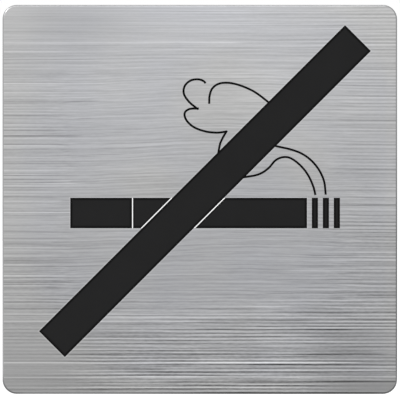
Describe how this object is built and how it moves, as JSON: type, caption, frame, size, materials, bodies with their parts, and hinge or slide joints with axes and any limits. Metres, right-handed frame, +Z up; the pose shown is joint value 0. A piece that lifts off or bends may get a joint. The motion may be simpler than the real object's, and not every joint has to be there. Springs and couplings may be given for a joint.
{
  "type": "no smoking sign",
  "caption": "Square brushed steel door sign with rounded corners: a cigarette with a wisp of smoke under a diagonal bar in black enamel, held to the wall by foam tape on its back.",
  "frame": {"origin": "on the wall, behind the middle of the plate, in the plane of the tape's outer face", "axes": "+X to the reader's right, +Z up, -Y out of the wall towards the reader"},
  "size_m": [0.1, 0.0025, 0.0986],
  "materials": {
    "steel": "brushed from side to side",
    "enamel": "satin black enamel, wiped flush",
    "foam_tape": "matt acrylic foam with a tacky outer face"
  },
  "bodies": {
    "root": {"sign_plate": "steel", "bar_and_smoke": "enamel", "filter_tip": "enamel", "paper_left": "enamel", "paper_right": "enamel", "ash_band_1": "enamel", "ash_band_2": "enamel", "ash_band_3": "enamel", "tape_left": "foam_tape", "tape_middle": "foam_tape", "tape_right": "foam_tape"}
  },
  "joints": []
}
